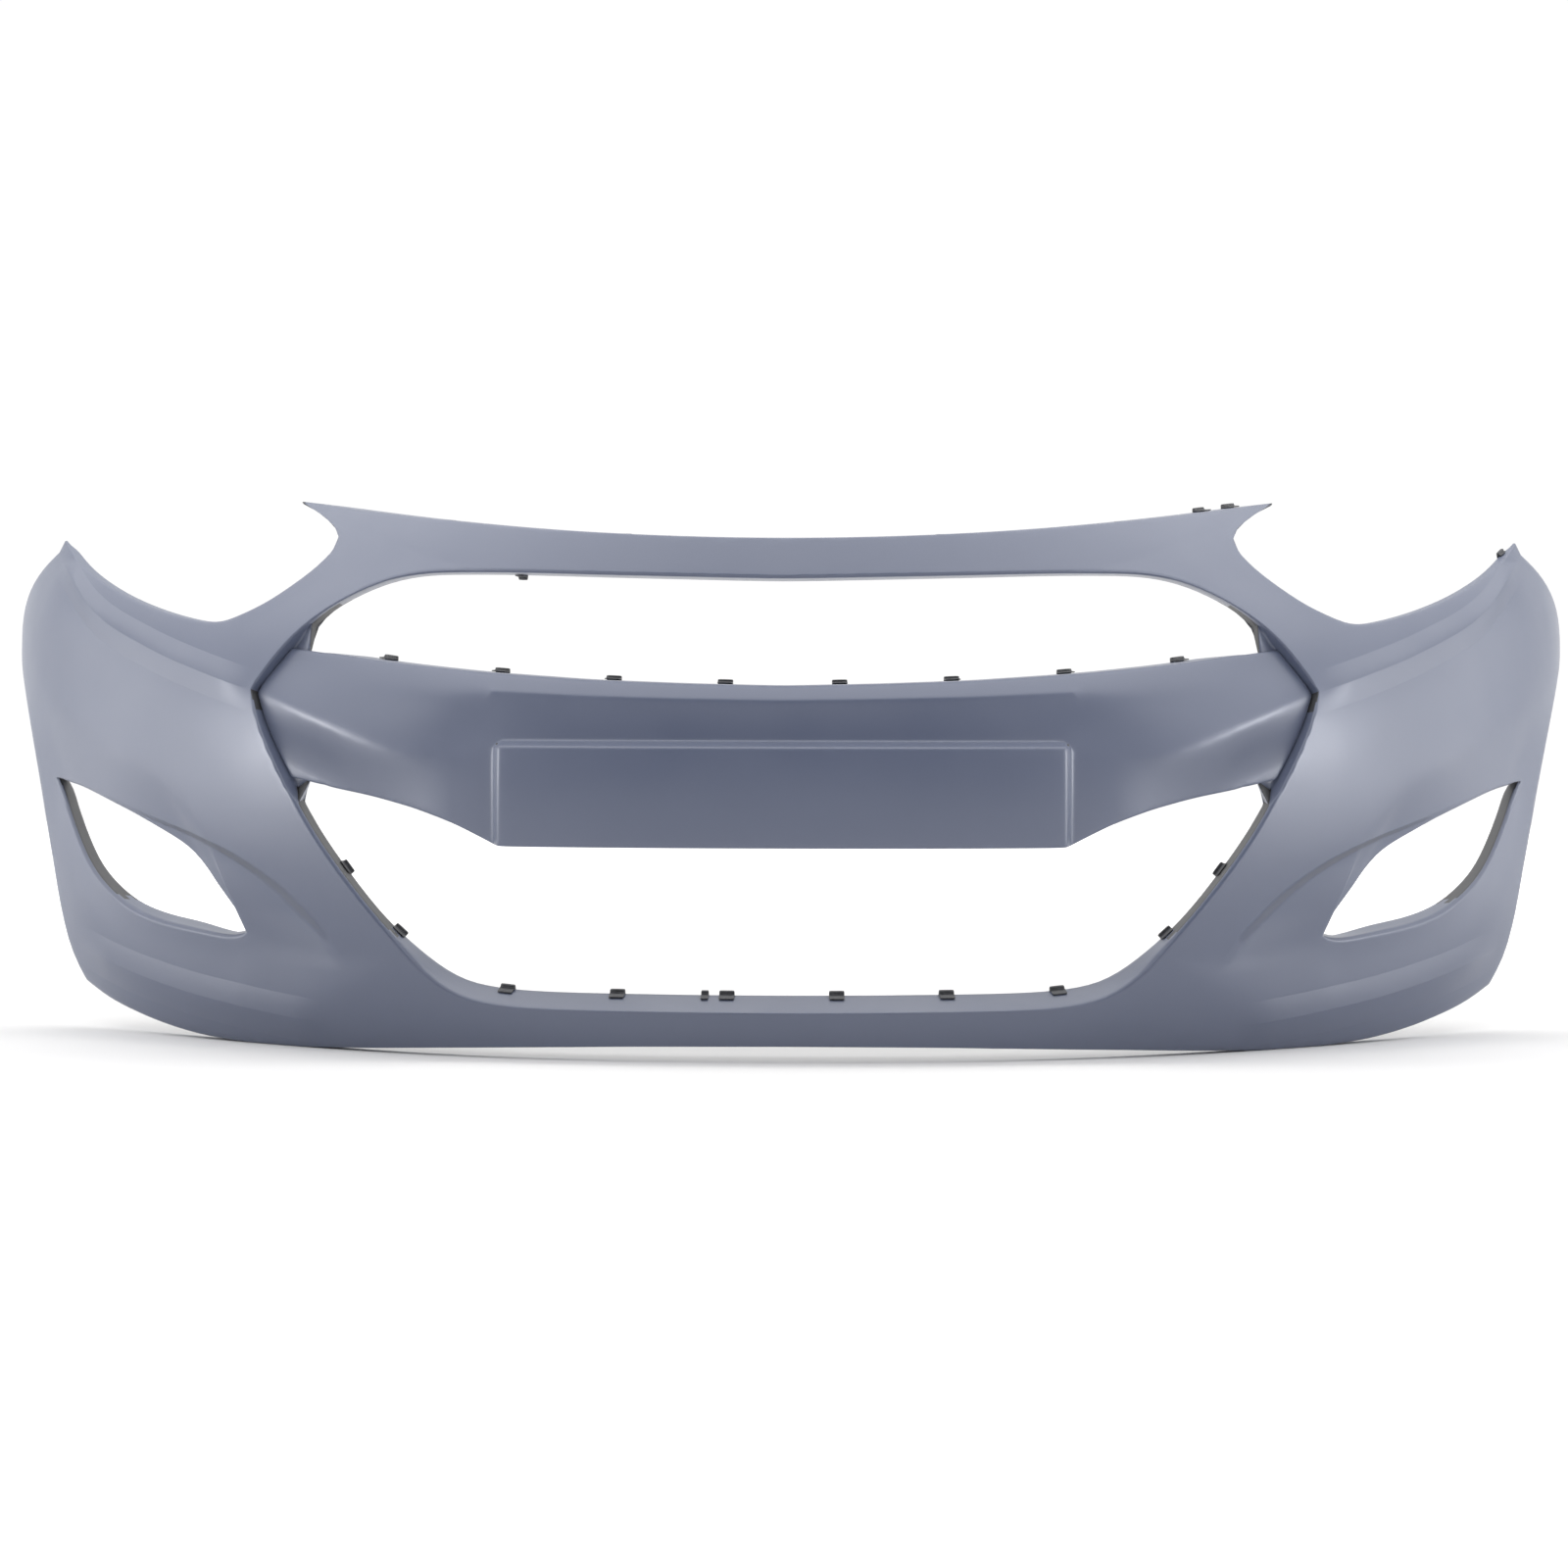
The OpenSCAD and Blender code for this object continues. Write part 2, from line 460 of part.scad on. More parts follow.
bar_crease = 5;         // how far the crease stands out along the bar's arms
function bar_fall(i, j) = let (
        arm = max((i - n_pad - 1) / n_arm, 0),
        plain = j <= row_char ? shoulder[j] * pad_proud / 10 : pad_proud,
        end = step_depth + lookup(end_z(j), bar_end_fall),
        ridge = max(1 - abs(j - row_char) / 3, 0) * ramp(arm * 1.4) * (1 - ramp((arm - 0.85) / 0.15) * 0.6))
    i <= n_pad && j > row_char ? 0 : mix(plain, end, ramp(arm)) - bar_crease * ridge;
bar_falls = [for (j = [0:row_base]) [for (i = [0:bar_cols]) bar_fall(i, j)]];
bar_skin = shifted(bar_grid, bar_falls, 0);

bar_right = bar_cols;
bar_foot = bar_right + row_base;
bar_last = bar_foot + bar_cols;
function bar_around(g, k) = joined(joined(g[k], column(g, bar_cols - k)), flipped(g[row_base - k]));
bar_rim = bar_around(bar_skin, 0);
bar_n = normals(bar_around(bar_grid, 0));
bar_next = joined(joined(bar_skin[1], column(bar_skin, bar_cols - 1)), flipped(bar_skin[row_base - 1]));
bar_in = into(bar_rim, bar_next);
bar_top_flange = 30;
bar_low_flange = 16;
// the flanges stop short of the ends, which lap over the ledges
function bar_depth(i) =
    i <= bar_right ? bar_top_flange * ramp((bar_right - 2 - i) / 2) :
    i < bar_foot ? 0 : bar_low_flange * ramp((i - bar_foot - 2) / 2);
function bar_thick(i) = bar_depth(i) > 0 ? 1 : 0;
bar_lip = [for (i = [0:bar_last]) bar_rim[i] + behind(bar_n[i]) * bar_depth(i)];
bar_back = [for (i = [0:bar_last]) bar_lip[i] + bar_in[i] * wall * bar_thick(i)];
bar_mitre = [for (i = [0:bar_last]) bar_rim[i] - bar_n[i] * wall + bar_in[i] * wall * bar_thick(i)];
function inner_bar(j, i) =
    j == 0 ? bar_mitre[i] :
    i == bar_cols ? bar_mitre[bar_right + j] :
    j == row_base ? bar_mitre[bar_foot + bar_cols - i] :
    sunk(bar_grid[j][i], bar_falls[j][i] + wall);
bar_inside = [for (r = table(row_base, bar_cols)) [for (c = r) inner_bar(c[0], c[1])]];
half_bar = concat(sheet(bar_skin), turned(sheet(bar_inside)),
    turned(flange([bar_rim, bar_lip, bar_back, bar_mitre])));

// ---- places along the flanges ------------------------------------------------
// fractional index at which a run passes a width (axis 0) or a height (axis 2)
function index_at(run, first, last, axis, value) =
    lookup(value, [for (i = [first:last]) [run[i][axis], i]]);
function at_index(list, k) = let (i = min(floor(k), len(list) - 2)) mix(list[i], list[i + 1], k - i);
// sets its children on a flange: local X runs along its free edge, local Y leads
// off that edge, local Z goes through its thickness from the visible face, and
// (0, 0) is share of the way from the skin to the free edge
module on_flange(root, free, inward, k, share = 1, side = 1) {
    along = unit(at_index(free, k + 0.3) - at_index(free, k - 0.3));
    b = square_to(at_index(free, k) - at_index(root, k), along);
    turn = cross(along, b) * at_index(inward, k) < 0 ? -1 : 1;
    t = along * turn;
    n = cross(t, b);
    // the slanted back edge of the flange reaches past its visible one
    overhang = share < 1 ? 0 : wall * max(at_index(inward, k) * b, 0);
    o = mix(at_index(root, k), at_index(free, k), share) + b * overhang + [0, centre_y, 0];
    mirror([side < 0 ? 1 : 0, 0, 0])
        multmatrix([[t.x, b.x, n.x, o.x], [t.y, b.y, n.y, o.y], [t.z, b.z, n.z, o.z], [0, 0, 0, 1]])
            children();
}

// ---- fixing holes --------------------------------------------------------------
// the origin lies midway between the pad and the rearmost edge
centre_y = -max([for (p = concat(rim_lip, rim_back)) p.y]) / 2;
boss_proud = 1.6;       // how far a boss stands proud of the hidden face of its flange
boss_h = wall + boss_proud;
small_boss_d = 0.8 * boss_d;
flange_mid = 0.55;      // where a hole lies across its flange, from the skin
rivet_x = [rivet_span / 2, rivet_span / 2 + 170 * kx];
lip_hole_x = 200 * kx;
arch_hole_z = [105 * kz, 200 * kz];

function across(k) = mix(at_index(rim, k), at_index(rim_lip, k), flange_mid);
// level disc through the top flange, at a distance from the middle
module top_disc(x, d) {
    p = across(index_at(rim, 0, at_tip - 1, 0, x));
    for (s = [-1, 1]) translate([s * x, p.y + centre_y, p.z - boss_h])
        cylinder(d = d, h = boss_h, $fn = 32);
}
module lip_disc(d) {
    p = across(index_at(rim, at_lip, at_end, 0, lip_hole_x));
    for (s = [-1, 1]) translate([s * lip_hole_x, p.y + centre_y, p.z])
        cylinder(d = d, h = boss_h, $fn = 32);
}
module arch_disc(z, d) {
    k = index_at(rim, at_split, at_foot, 2, z);
    for (s = [-1, 1]) on_flange(rim, rim_lip, rim_in, k, flange_mid, s)
        cylinder(d = d, h = boss_h, $fn = 32);
}

// ---- sub-parts -----------------------------------------------------------------
module cover_shell() {
    color(primer) difference() {
        union() {
            translate([0, centre_y, 0]) both_halves(half_shell);
            for (x = rivet_x) top_disc(x, boss_d);
            for (z = arch_hole_z) arch_disc(z, small_boss_d);
            lip_disc(small_boss_d);
        }
        for (x = rivet_x) top_disc(x, rivet_hole_d);
        for (z = arch_hole_z) arch_disc(z, screw_hole_d);
        lip_disc(screw_hole_d);
    }
}

module centre_bar() {
    color(primer) translate([0, centre_y, 0]) both_halves(half_bar);
}

// U-shaped spring clip pushed over the free edge of a flange, with a tongue
// that stands up from its web
tongue_h = 2.4;
tongue_l = 3.4;
module clip(w = clip_w, l = clip_l) {
    leg = l + clip_gap + clip_t;
    outer = wall + 2 * (clip_gap + clip_t);
    face = clip_gap + clip_t;
    color(clip_black) union() {
        translate([-w / 2, -l, -face]) cube([w, leg, clip_t]);
        translate([-w / 2, -l, wall + clip_gap]) cube([w, leg, clip_t]);
        translate([-w / 2, clip_gap, -face]) cube([w, clip_t, outer]);
        translate([-w / 2, face - tongue_l, -face - tongue_h]) cube([w, tongue_l, tongue_h]);
    }
}
module on_bar(x) {
    k = index_at(bar_lip, 0, bar_right - 3, 0, abs(x));
    on_flange(bar_rim, bar_lip, bar_in, k, 1, sign(x)) clip();
}
module on_surround(k, side, w = clip_w) {
    on_flange(step_foot, step_tip, sur_in, k, 1, side) clip(w);
}
function sill_at(x) = index_at(step_tip, at_under + 3, at_sill, 0, x);
function side_at(z) = index_at(step_tip, at_corner + 6, at_sill, 2, z);
module on_rim(k, side, l = clip_l) {
    on_flange(rim, rim_lip, rim_in, k, 1, side) clip(clip_w, l);
}
function rail_at(x) = index_at(rim_lip, 0, at_tip - 1, 0, x);

upper_clip_x = [for (x = [-365, -258, -154, -52, 52, 154, 258, 365]) x * kx];
lower_clip_x = [for (x = [-252, -150, -50, 50, 150, 252]) x * kx];
side_clip_z = [172 * kz, 114 * kz];
rail_clip_x = [396 * kx, 444 * kx];
module upper_clip(i) { on_bar(upper_clip_x[i - 1]); }
module lower_clip(i) { on_surround(sill_at(abs(lower_clip_x[i - 1])), sign(lower_clip_x[i - 1])); }
module side_clip(z, side) { on_surround(side_at(z), side); }
module rail_clip(x) { on_rim(rail_at(x), 1); }
// short clip on the narrow lamp flange, just short of the wing's tip
module wing_clip() { on_rim(at_wing - 2.6, 1, 3.5); }
// small spring catches, one over each opening
module rail_catch() { on_surround(index_at(step_tip, 0, at_tip, 0, 242 * kx), -1, 0.6 * clip_w); }
module lip_catch() { on_surround(sill_at(70 * kx), -1, 0.5 * clip_w); }

cover_shell();
centre_bar();
upper_clip(1);  // upper_clip_1
upper_clip(2);  // upper_clip_2
upper_clip(3);  // upper_clip_3
upper_clip(4);  // upper_clip_4
upper_clip(5);  // upper_clip_5
upper_clip(6);  // upper_clip_6
upper_clip(7);  // upper_clip_7
upper_clip(8);  // upper_clip_8
lower_clip(1);  // lower_clip_1
lower_clip(2);  // lower_clip_2
lower_clip(3);  // lower_clip_3
lower_clip(4);  // lower_clip_4
lower_clip(5);  // lower_clip_5
lower_clip(6);  // lower_clip_6
side_clip(side_clip_z[0], -1);  // side_clip_left_upper
side_clip(side_clip_z[1], -1);  // side_clip_left_lower
side_clip(side_clip_z[0], 1);  // side_clip_right_upper
side_clip(side_clip_z[1], 1);  // side_clip_right_lower
rail_clip(rail_clip_x[0]);  // rail_clip_inner
rail_clip(rail_clip_x[1]);  // rail_clip_outer
wing_clip();
rail_catch();
lip_catch();
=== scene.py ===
"""Front bumper cover of a small city car: the visual model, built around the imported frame."""

import logging
import math
from dataclasses import dataclass, replace
from enum import Enum

import bpy
from mathutils import Matrix, Vector


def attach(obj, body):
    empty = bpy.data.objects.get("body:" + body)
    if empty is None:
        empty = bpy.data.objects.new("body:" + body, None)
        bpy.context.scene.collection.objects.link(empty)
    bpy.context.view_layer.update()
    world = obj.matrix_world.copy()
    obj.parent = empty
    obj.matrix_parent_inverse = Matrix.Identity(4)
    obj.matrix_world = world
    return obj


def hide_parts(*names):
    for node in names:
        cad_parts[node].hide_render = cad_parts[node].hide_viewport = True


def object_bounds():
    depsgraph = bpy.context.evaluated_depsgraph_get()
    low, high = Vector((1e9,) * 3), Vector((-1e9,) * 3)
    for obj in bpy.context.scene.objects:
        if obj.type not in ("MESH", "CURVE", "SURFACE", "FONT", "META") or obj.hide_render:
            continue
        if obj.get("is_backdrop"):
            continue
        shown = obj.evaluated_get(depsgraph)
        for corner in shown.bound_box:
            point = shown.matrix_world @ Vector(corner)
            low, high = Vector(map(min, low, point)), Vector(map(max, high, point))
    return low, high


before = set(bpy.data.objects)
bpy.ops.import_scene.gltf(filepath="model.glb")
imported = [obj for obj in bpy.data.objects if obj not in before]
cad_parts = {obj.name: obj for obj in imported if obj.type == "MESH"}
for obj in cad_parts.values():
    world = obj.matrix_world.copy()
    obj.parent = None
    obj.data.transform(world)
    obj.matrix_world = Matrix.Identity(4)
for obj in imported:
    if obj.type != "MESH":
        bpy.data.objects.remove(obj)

logging.basicConfig(level=logging.INFO, format="%(message)s")
log = logging.getLogger("bumper_cover")
MM = 0.001
# Face mark for dark unprimed plastic: real on the back of the mouldings, painted shade on inward walls of
# pockets and steps seen from the front.
BARE_AND_SHADE = "bare_back_and_painted_shade"


class Group(Enum):
    """Groups of pieces, each named after the material of its pieces."""

    SHELL = "shell_primer"
    BAR = "bar_primer"
    CLIP = "clip_plastic"


class NodeTree:
    """Adds shader nodes to a new material and joins them.

    Attributes:
        noise_range: Values between which nearly all of a noise lies.
    """

    noise_range: tuple[float, float] = (0.3, 0.7)

    def __init__(self, name: str) -> None:
        """Starts a material with an output and a principled shader.

        Args:
            name: Name of the material.
        """
        self.material = bpy.data.materials.new(name)
        self.material.use_nodes = True
        self.nodes = self.material.node_tree.nodes
        self.shader = next(n for n in self.nodes if n.type == "BSDF_PRINCIPLED")
        self.place = self.add("ShaderNodeTexCoord").outputs["Object"]

    def add(self, kind: str, **settings: object) -> bpy.types.Node:
        """Adds a node.

        Args:
            kind: Blender's name for the type of node.
            **settings: Properties of the node.

        Returns:
            The new node.
        """
        node = self.nodes.new(kind)
        for key, value in settings.items():
            setattr(node, key, value)
        return node

    def join(self, output: bpy.types.NodeSocket, target: bpy.types.NodeSocket) -> None:
        """Links an output to an input."""
        self.material.node_tree.links.new(output, target)

    def noise(self, scale: float, detail: float, rough: float = 0.5) -> bpy.types.NodeSocket:
        """Noise over the piece's own coordinates.

        Args:
            scale: Waves per metre.
            detail: Number of finer layers.
            rough: How strong the finer layers are.

        Returns:
            The noise value, about 0 to 1.
        """
        node = self.add("ShaderNodeTexNoise")
        node.inputs["Scale"].default_value = scale
        node.inputs["Detail"].default_value = detail
        node.inputs["Roughness"].default_value = rough
        self.join(self.place, node.inputs["Vector"])
        return node.outputs["Fac"]

    def spread(self, value: bpy.types.NodeSocket, low: float, high: float) -> bpy.types.NodeSocket:
        """Maps the middle of a noise onto a range.

        Args:
            value: The noise.
            low: Result where the noise is at the low end of its range.
            high: Result where it is at the high end.

        Returns:
            The mapped value.
        """
        return self.scale(value, *self.noise_range, low, high, soft=False)

    def blend(self, share: bpy.types.NodeSocket, first: object,
              second: object) -> bpy.types.NodeSocket:
        """Mixes two colours.

        Args:
            share: Share of the second colour.
            first: A colour, or a socket that gives one.
            second: A colour, or a socket that gives one.

        Returns:
            The mixed colour.
        """
        node = self.add("ShaderNodeMix", data_type="RGBA")
        self.join(share, node.inputs["Factor"])
        for name, colour in ((6, first), (7, second)):
            if isinstance(colour, bpy.types.NodeSocket):
                self.join(colour, node.inputs[name])
            else:
                node.inputs[name].default_value = (*colour, 1.0)
        return node.outputs[2]

    def math(self, operation: str, value: bpy.types.NodeSocket,
             other: object = 0.0) -> bpy.types.NodeSocket:
        """Works on one or two values.

        Args:
            operation: Blender's name for the operation.
            value: The first value.
            other: The second value, as a socket or a number.

        Returns:
            The result.
        """
        node = self.add("ShaderNodeMath", operation=operation)
        self.join(value, node.inputs[0])
        if isinstance(other, bpy.types.NodeSocket):
            self.join(other, node.inputs[1])
        else:
            node.inputs[1].default_value = other
        return node.outputs["Value"]

    def half_place(self) -> tuple[bpy.types.NodeSocket, bpy.types.NodeSocket]:
        """Distance from the middle of the piece, and height, in metres."""
        node = self.add("ShaderNodeSeparateXYZ")
        self.join(self.place, node.inputs["Vector"])
        return self.math("ABSOLUTE", node.outputs["X"]), node.outputs["Z"]

    def curve(self, value: bpy.types.NodeSocket,
              points: list[tuple[float, float]]) -> bpy.types.NodeSocket:
        """Reads a smooth curve through points.

        Args:
            value: Where to read it.
            points: The curve's points, by rising run.

        Returns:
            The curve's value there.
        """
        first, last = points[0][0], points[-1][0]
        low, high = min(b for _, b in points), max(b for _, b in points)
        node = self.add("ShaderNodeFloatCurve")
        knots = node.mapping.curves[0].points
        spots = [((a - first) / (last - first), (b - low) / (high - low)) for a, b in points]
        knots[0].location, knots[1].location = spots[0], spots[-1]
        for spot in spots[1:-1]:
            knots.new(*spot)
        node.mapping.update()
        self.join(self.scale(value, first, last, 0.0, 1.0, soft=False), node.inputs["Value"])
        return self.scale(node.outputs["Value"], 0.0, 1.0, low, high, soft=False)

    def scale(self, value: bpy.types.NodeSocket, start: float, end: float,
              low: float, high: float, soft: bool = True) -> bpy.types.NodeSocket:
        """Maps a range of a value onto another range.

        Args:
            value: The value to map.
            start: Value that gives the low result.
            end: Value that gives the high result.
            low: Result at the start.
            high: Result at the end.
            soft: True to ease both ends.

        Returns:
            The mapped value.
        """
        node = self.add("ShaderNodeMapRange", interpolation_type="SMOOTHSTEP" if soft else "LINEAR")
        for name, number in (("From Min", start), ("From Max", end), ("To Min", low), ("To Max", high)):
            node.inputs[name].default_value = number
        self.join(value, node.inputs["Value"])
        return node.outputs["Result"]

    def distance(self, centre: tuple[float, float, float]) -> bpy.types.NodeSocket:
        """Distance from a point of the piece's own space.

        Args:
            centre: The point, in metres.

        Returns:
            The distance, in metres.
        """
        node = self.add("ShaderNodeVectorMath", operation="DISTANCE")
        node.inputs[1].default_value = centre
        self.join(self.place, node.inputs[0])
        return node.outputs["Value"]

    def bump(self, height: bpy.types.NodeSocket, depth: float, share: float = 1.0) -> None:
        """Adds a fine relief, on top of any that is there.

        Args:
            height: The relief's height, as a share of its depth.
            depth: Depth of the relief, in metres.
            share: How strongly it shows.
        """
        node = self.add("ShaderNodeBump")
        node.inputs["Strength"].default_value = share
        node.inputs["Distance"].default_value = depth
        self.join(height, node.inputs["Height"])
        target = self.shader.inputs["Normal"]
        if target.is_linked:
            self.join(target.links[0].from_socket, node.inputs["Normal"])
        self.join(node.outputs["Normal"], target)


class Profile(Enum):
    """What the surface does beside a moulded line."""

    RIDGE = "ridge"
    STEP = "step"


@dataclass(frozen=True)
class MouldedLine:
    """A crease or a step moulded into both halves of a piece.

    Attributes:
        points: The line, as (run, place) in millimetres.
        level: True if the run is the distance from the middle and the place is the height.
        profile: What the surface does beside the line.
        height: How far the crest stands out, in metres.
        width: Distance over which the surface falls away from it, in metres.
        fade: Distance at which a step has died out, in metres.
        side: 1 if a step lies beyond the line, -1 if it lies short of it.
        soft: Length over which the line fades in and out at its ends, in metres.
    """

    points: tuple[tuple[float, float], ...]
    level: bool
    profile: Profile
    height: float
    width: float
    fade: float = 0.1
    side: int = 1
    soft: float = 0.04

    def build(self, tree: NodeTree) -> bpy.types.NodeSocket:
        """Adds the nodes that give the relief's height.

        Args:
            tree: The material.

        Returns:
            The height, in metres.
        """
        across, up = tree.half_place()
        run, place = (across, up) if self.level else (up, across)
        line = [(a * MM, b * MM) for a, b in self.points]
        off = tree.math("MULTIPLY", tree.math("SUBTRACT", place, tree.curve(run, line)), self.side)
        start, end = line[0][0], line[-1][0]
        ends = tree.math("MULTIPLY", tree.scale(run, start, start + self.soft, 0.0, 1.0),
                         tree.scale(run, end - self.soft, end, 1.0, 0.0))
        if self.profile is Profile.RIDGE:
            rise = tree.scale(tree.math("ABSOLUTE", off), 0.0, self.width, 1.0, 0.0, soft=False)
        else:
            rise = tree.math("MULTIPLY", tree.scale(off, 0.0, self.width, 0.0, -1.0),
                             tree.scale(off, self.width, self.fade, 1.0, 0.0))
        return tree.math("MULTIPLY", tree.math("MULTIPLY", rise, ends), self.height)


BROW = MouldedLine(
    points=((75.0, 394.0), (82.0, 400.0), (122.0, 429.0), (178.0, 502.0), (215.0, 603.0), (232.0, 655.0)),
    level=False, profile=Profile.STEP, height=9 * MM, width=16 * MM, fade=110 * MM, soft=60 * MM)
WING_CREASE = MouldedLine(
    points=((495.0, 335.0), (550.0, 352.0), (612.0, 375.0), (672.0, 405.0), (712.0, 443.0), (737.0, 470.0)),
    level=True, profile=Profile.RIDGE, height=3.5 * MM, width=20 * MM)
LIP_CREASE = MouldedLine(
    points=((420.0, 24.0), (500.0, 34.0), (600.0, 52.0), (700.0, 84.0)),
    level=True, profile=Profile.RIDGE, height=3 * MM, width=22 * MM)
BAR_CREASE = MouldedLine(
    points=((300.0, 281.0), (359.0, 283.0), (429.0, 309.0), (488.0, 334.0), (560.0, 366.0)),
    level=True, profile=Profile.STEP, height=18 * MM, width=55 * MM, fade=200 * MM, side=-1,
    soft=140 * MM)
BAR_BAND = MouldedLine(
    points=((0.0, 336.0), (90.0, 338.0), (178.0, 341.5), (270.0, 348.0), (363.0, 356.0),
            (424.0, 363.0), (520.0, 376.0)),
    level=True, profile=Profile.STEP, height=4 * MM, width=5 * MM, fade=50 * MM, side=-1, soft=0.0)


@dataclass(frozen=True)
class Grain:
    """A noise over a piece's own coordinates, used as a fine relief.

    Attributes:
        scale: Waves per metre.
        depth: Depth, in metres.
        share: How strongly it shows.
        detail: Number of finer layers.
    """

    scale: float
    depth: float
    share: float
    detail: float = 2.0

    def add(self, tree: NodeTree) -> None:
        """Adds the relief to a material."""
        tree.bump(tree.noise(self.scale, self.detail), self.depth, self.share)


@dataclass(frozen=True)
class PrimerFinish:
    """Matte blue-grey primer on moulded plastic, with dark unprimed plastic on faces that look inwards,
    which is painted shade where they are walls seen from the front.

    Attributes:
        name: Name of the material.
        lines: Creases and steps of the piece.
        colour: Colour of the primer.
        pale: Colour of its paler clouds and specks.
        clouds: Scale, detail and strength of the clouds.
        specks: Scale, detail and strength of the specks.
        roughness: Middle roughness of the primer.
        rough_range: How far the roughness goes below and above that.
        rough_noise: Scale and detail of its change.
        specular: Strength of the reflections.
        sheen: Strength and roughness of the soft edge glow.
        bare_and_shade_colour: Colour of the unprimed plastic, which is also painted shade on inward walls
            seen from the front.
        bare_and_shade_worn: Colour of its paler patches.
        bare_and_shade_noise: Scale and detail of the patches.
        bare_roughness: Roughness of the unprimed plastic.
        grains: Fine reliefs of the surface.
    """

    name: str
    lines: tuple[MouldedLine, ...]
    colour: tuple[float, float, float] = (0.104, 0.124, 0.192)
    pale: tuple[float, float, float] = (0.12, 0.141, 0.214)
    clouds: tuple[float, float, float] = (3.1, 3.0, 0.6)
    specks: tuple[float, float, float] = (900.0, 2.0, 0.25)
    roughness: float = 0.36
    rough_range: tuple[float, float] = (0.03, 0.04)
    rough_noise: tuple[float, float] = (14.0, 4.0)
    specular: float = 0.75
    sheen: tuple[float, float] = (0.22, 0.35)
    # Dark unprimed plastic: true on the back of the piece, painted shade on inward walls of pockets and
    # steps seen from the front.
    bare_and_shade_colour: tuple[float, float, float] = (0.022, 0.023, 0.026)
    bare_and_shade_worn: tuple[float, float, float] = (0.036, 0.037, 0.041)
    bare_and_shade_noise: tuple[float, float] = (35.0, 5.0)
    bare_roughness: float = 0.6
    grains: tuple[Grain, ...] = (Grain(1500.0, 0.05 * MM, 0.35), Grain(60.0, 0.1 * MM, 0.15))

    def tint(self, tree: NodeTree, bare_and_shade_mask: bpy.types.NodeSocket) -> None:
        """Colours the primer and the dark unprimed plastic, which is painted shade on inward walls seen
        from the front.

        Args:
            tree: The material.
            bare_and_shade_mask: 1 on faces that look inwards, 0 elsewhere.
        """
        *clouds, cloud_share = self.clouds
        *specks, speck_share = self.specks
        clouded = tree.blend(tree.spread(tree.noise(*clouds), 0.0, cloud_share), self.colour, self.pale)
        primer = tree.blend(tree.spread(tree.noise(*specks), 0.0, speck_share), clouded, self.pale)
        # Dark plastic on the marked faces, standing in as painted shade on inward walls seen from the
        # front.
        plastic = tree.blend(tree.spread(tree.noise(*self.bare_and_shade_noise), 0.0, 1.0), self.bare_and_shade_colour, self.bare_and_shade_worn)
        tree.join(tree.blend(bare_and_shade_mask, primer, plastic), tree.shader.inputs["Base Color"])

    def gloss(self, tree: NodeTree, bare_and_shade_mask: bpy.types.NodeSocket) -> None:
        """Sets how rough the primer and the unprimed plastic are, and how they reflect.

        Args:
            tree: The material.
            bare_and_shade_mask: 1 on faces that look inwards, 0 elsewhere.
        """
        below, above = self.rough_range
        primer = tree.spread(tree.noise(*self.rough_noise), self.roughness - below, self.roughness + above)
        mixed = tree.add("ShaderNodeMix", data_type="FLOAT")
        mixed.inputs["B"].default_value = self.bare_roughness
        tree.join(bare_and_shade_mask, mixed.inputs["Factor"])
        tree.join(primer, mixed.inputs["A"])
        tree.join(mixed.outputs["Result"], tree.shader.inputs["Roughness"])
        tree.shader.inputs["Specular IOR Level"].default_value = self.specular
        tree.shader.inputs["Sheen Weight"].default_value = self.sheen[0]
        tree.shader.inputs["Sheen Roughness"].default_value = self.sheen[1]

    def make(self) -> bpy.types.Material:
        """Builds the material.

        Returns:
            The finished material.
        """
        tree = NodeTree(self.name)
        bare_and_shade_mask = tree.add("ShaderNodeAttribute", attribute_name=BARE_AND_SHADE).outputs["Fac"]
        self.tint(tree, bare_and_shade_mask)
        self.gloss(tree, bare_and_shade_mask)
        for line in self.lines:
            tree.bump(line.build(tree), 1.0)
        for grain in self.grains:
            grain.add(tree)
        return tree.material


@dataclass(frozen=True)
class ClipFinish:
    """Black moulded plastic of the spring clips.

    Attributes:
        name: Name of the material.
        colour: Colour of the plastic.
        worn: Colour of its paler patches.
        patches: Scale and detail of the patches.
        roughness: Middle roughness.
        rough_range: How far the roughness goes below and above that.
        rough_noise: Scale and detail of its change.
        grain: Fine relief of the surface.
    """

    name: str = "clip_plastic"
    colour: tuple[float, float, float] = (0.02, 0.021, 0.026)
    worn: tuple[float, float, float] = (0.05, 0.052, 0.06)
    patches: tuple[float, float] = (220.0, 4.0)
    roughness: float = 0.42
    rough_range: tuple[float, float] = (0.06, 0.08)
    rough_noise: tuple[float, float] = (500.0, 3.0)
    grain: Grain = Grain(2500.0, 0.03 * MM, 0.4)

    def make(self) -> bpy.types.Material:
        """Builds the material.

        Returns:
            The finished material.
        """
        tree = NodeTree(self.name)
        below, above = self.rough_range
        tint = tree.blend(tree.spread(tree.noise(*self.patches), 0.0, 1.0), self.colour, self.worn)
        rough = tree.spread(tree.noise(*self.rough_noise), self.roughness - below, self.roughness + above)
        tree.join(tint, tree.shader.inputs["Base Color"])
        tree.join(rough, tree.shader.inputs["Roughness"])
        self.grain.add(tree)
        return tree.material


